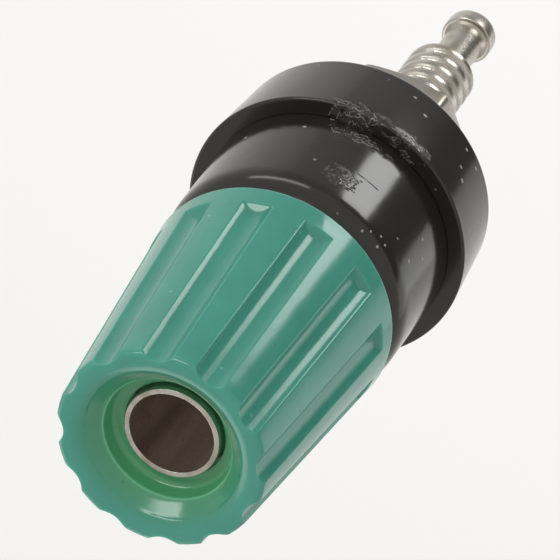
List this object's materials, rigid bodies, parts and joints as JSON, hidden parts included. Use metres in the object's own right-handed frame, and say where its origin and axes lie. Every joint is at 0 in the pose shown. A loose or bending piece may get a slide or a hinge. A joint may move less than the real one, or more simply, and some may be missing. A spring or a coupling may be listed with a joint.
{
  "type": "binding post",
  "caption": "Insulated panel binding post: fluted green screw knob with a 4 mm socket, black front collar and rear disc, hex nut, threaded stud and solder end.",
  "frame": {"origin": "centre of the panel seat, on the post's axis in the plane of the collar's back face", "axes": "+Z along the post's axis, out of the socket's mouth; the threaded stud points to -Z; the wire hole runs along Y"},
  "size_m": [0.0136, 0.0134, 0.0389],
  "materials": {
    "nickel_post": "bright nickel plate over brass",
    "brass_insert": "turned, bare",
    "green_plastic": "moulded gloss, slightly cloudy",
    "black_plastic": "moulded gloss, chipped edges",
    "nickel_washer": "nickel plate",
    "nickel_nut": "nickel plate"
  },
  "bodies": {
    "base": {"socket_post": "nickel_post", "front_collar": "black_plastic"},
    "knob_carrier": {"knob_insert": "brass_insert"},
    "knob": {"knob": "green_plastic"},
    "panel_clamp": {"rear_disc": "black_plastic", "washer": "nickel_washer"},
    "nut": {"hex_nut": "nickel_nut"}
  },
  "joints": [
    {"name": "knob_travel", "type": "slide", "parent": "base", "child": "knob_carrier", "axis": [0, 0, 1], "range_m": [0, 0.0048]},
    {"name": "knob_turn", "type": "hinge", "parent": "knob_carrier", "child": "knob", "pos_m": [0, 0, 0.0133], "axis": [0, 0, 1], "range_deg": [0, 2160]},
    {"name": "clamp_travel", "type": "slide", "parent": "base", "child": "panel_clamp", "axis": [0, 0, -1], "range_m": [0, 0.0048]},
    {"name": "nut_turn", "type": "hinge", "parent": "panel_clamp", "child": "nut", "pos_m": [0, 0, -0.0068], "axis": [0, 0, -1], "range_deg": [0, 2160]}
  ],
  "couplings": [
    {"joint": "knob_turn", "follows": "knob_travel", "rad_per_m": 7854},
    {"joint": "nut_turn", "follows": "clamp_travel", "rad_per_m": 7854}
  ]
}
